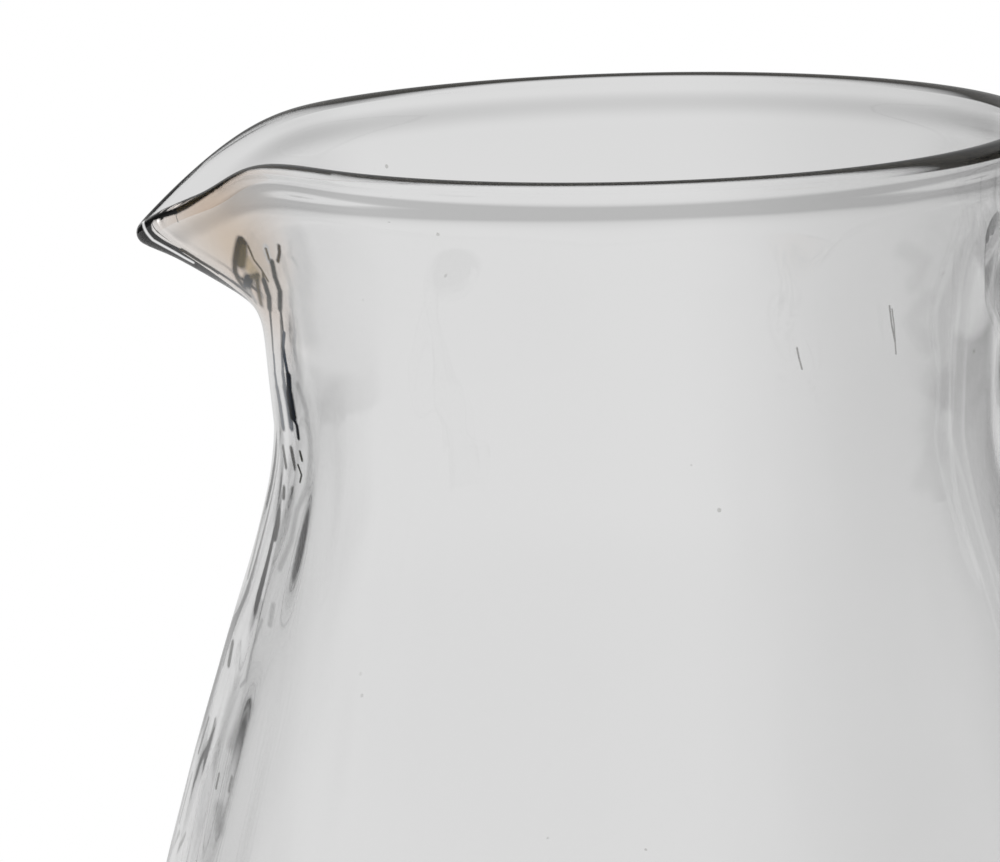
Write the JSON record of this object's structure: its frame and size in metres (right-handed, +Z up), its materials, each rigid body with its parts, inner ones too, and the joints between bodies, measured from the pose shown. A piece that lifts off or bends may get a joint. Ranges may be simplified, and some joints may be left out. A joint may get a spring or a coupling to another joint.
{
  "type": "water pitcher",
  "caption": "Hand-blown clear glass water pitcher: waisted neck, fire-polished lip pulled into a drooping pouring spout, and an applied glass handle.",
  "frame": {"origin": "centre of the foot, on the surface the pitcher stands on", "axes": "+Z up along the pitcher's axis, -X towards the spout, +X towards the handle"},
  "size_m": [0.1692, 0.143, 0.21],
  "materials": {
    "clear_glass": "fire-polished, slightly wavy and seedy, as blown by hand"
  },
  "bodies": {
    "root": {"glass_body": "clear_glass", "handle": "clear_glass"}
  },
  "joints": []
}
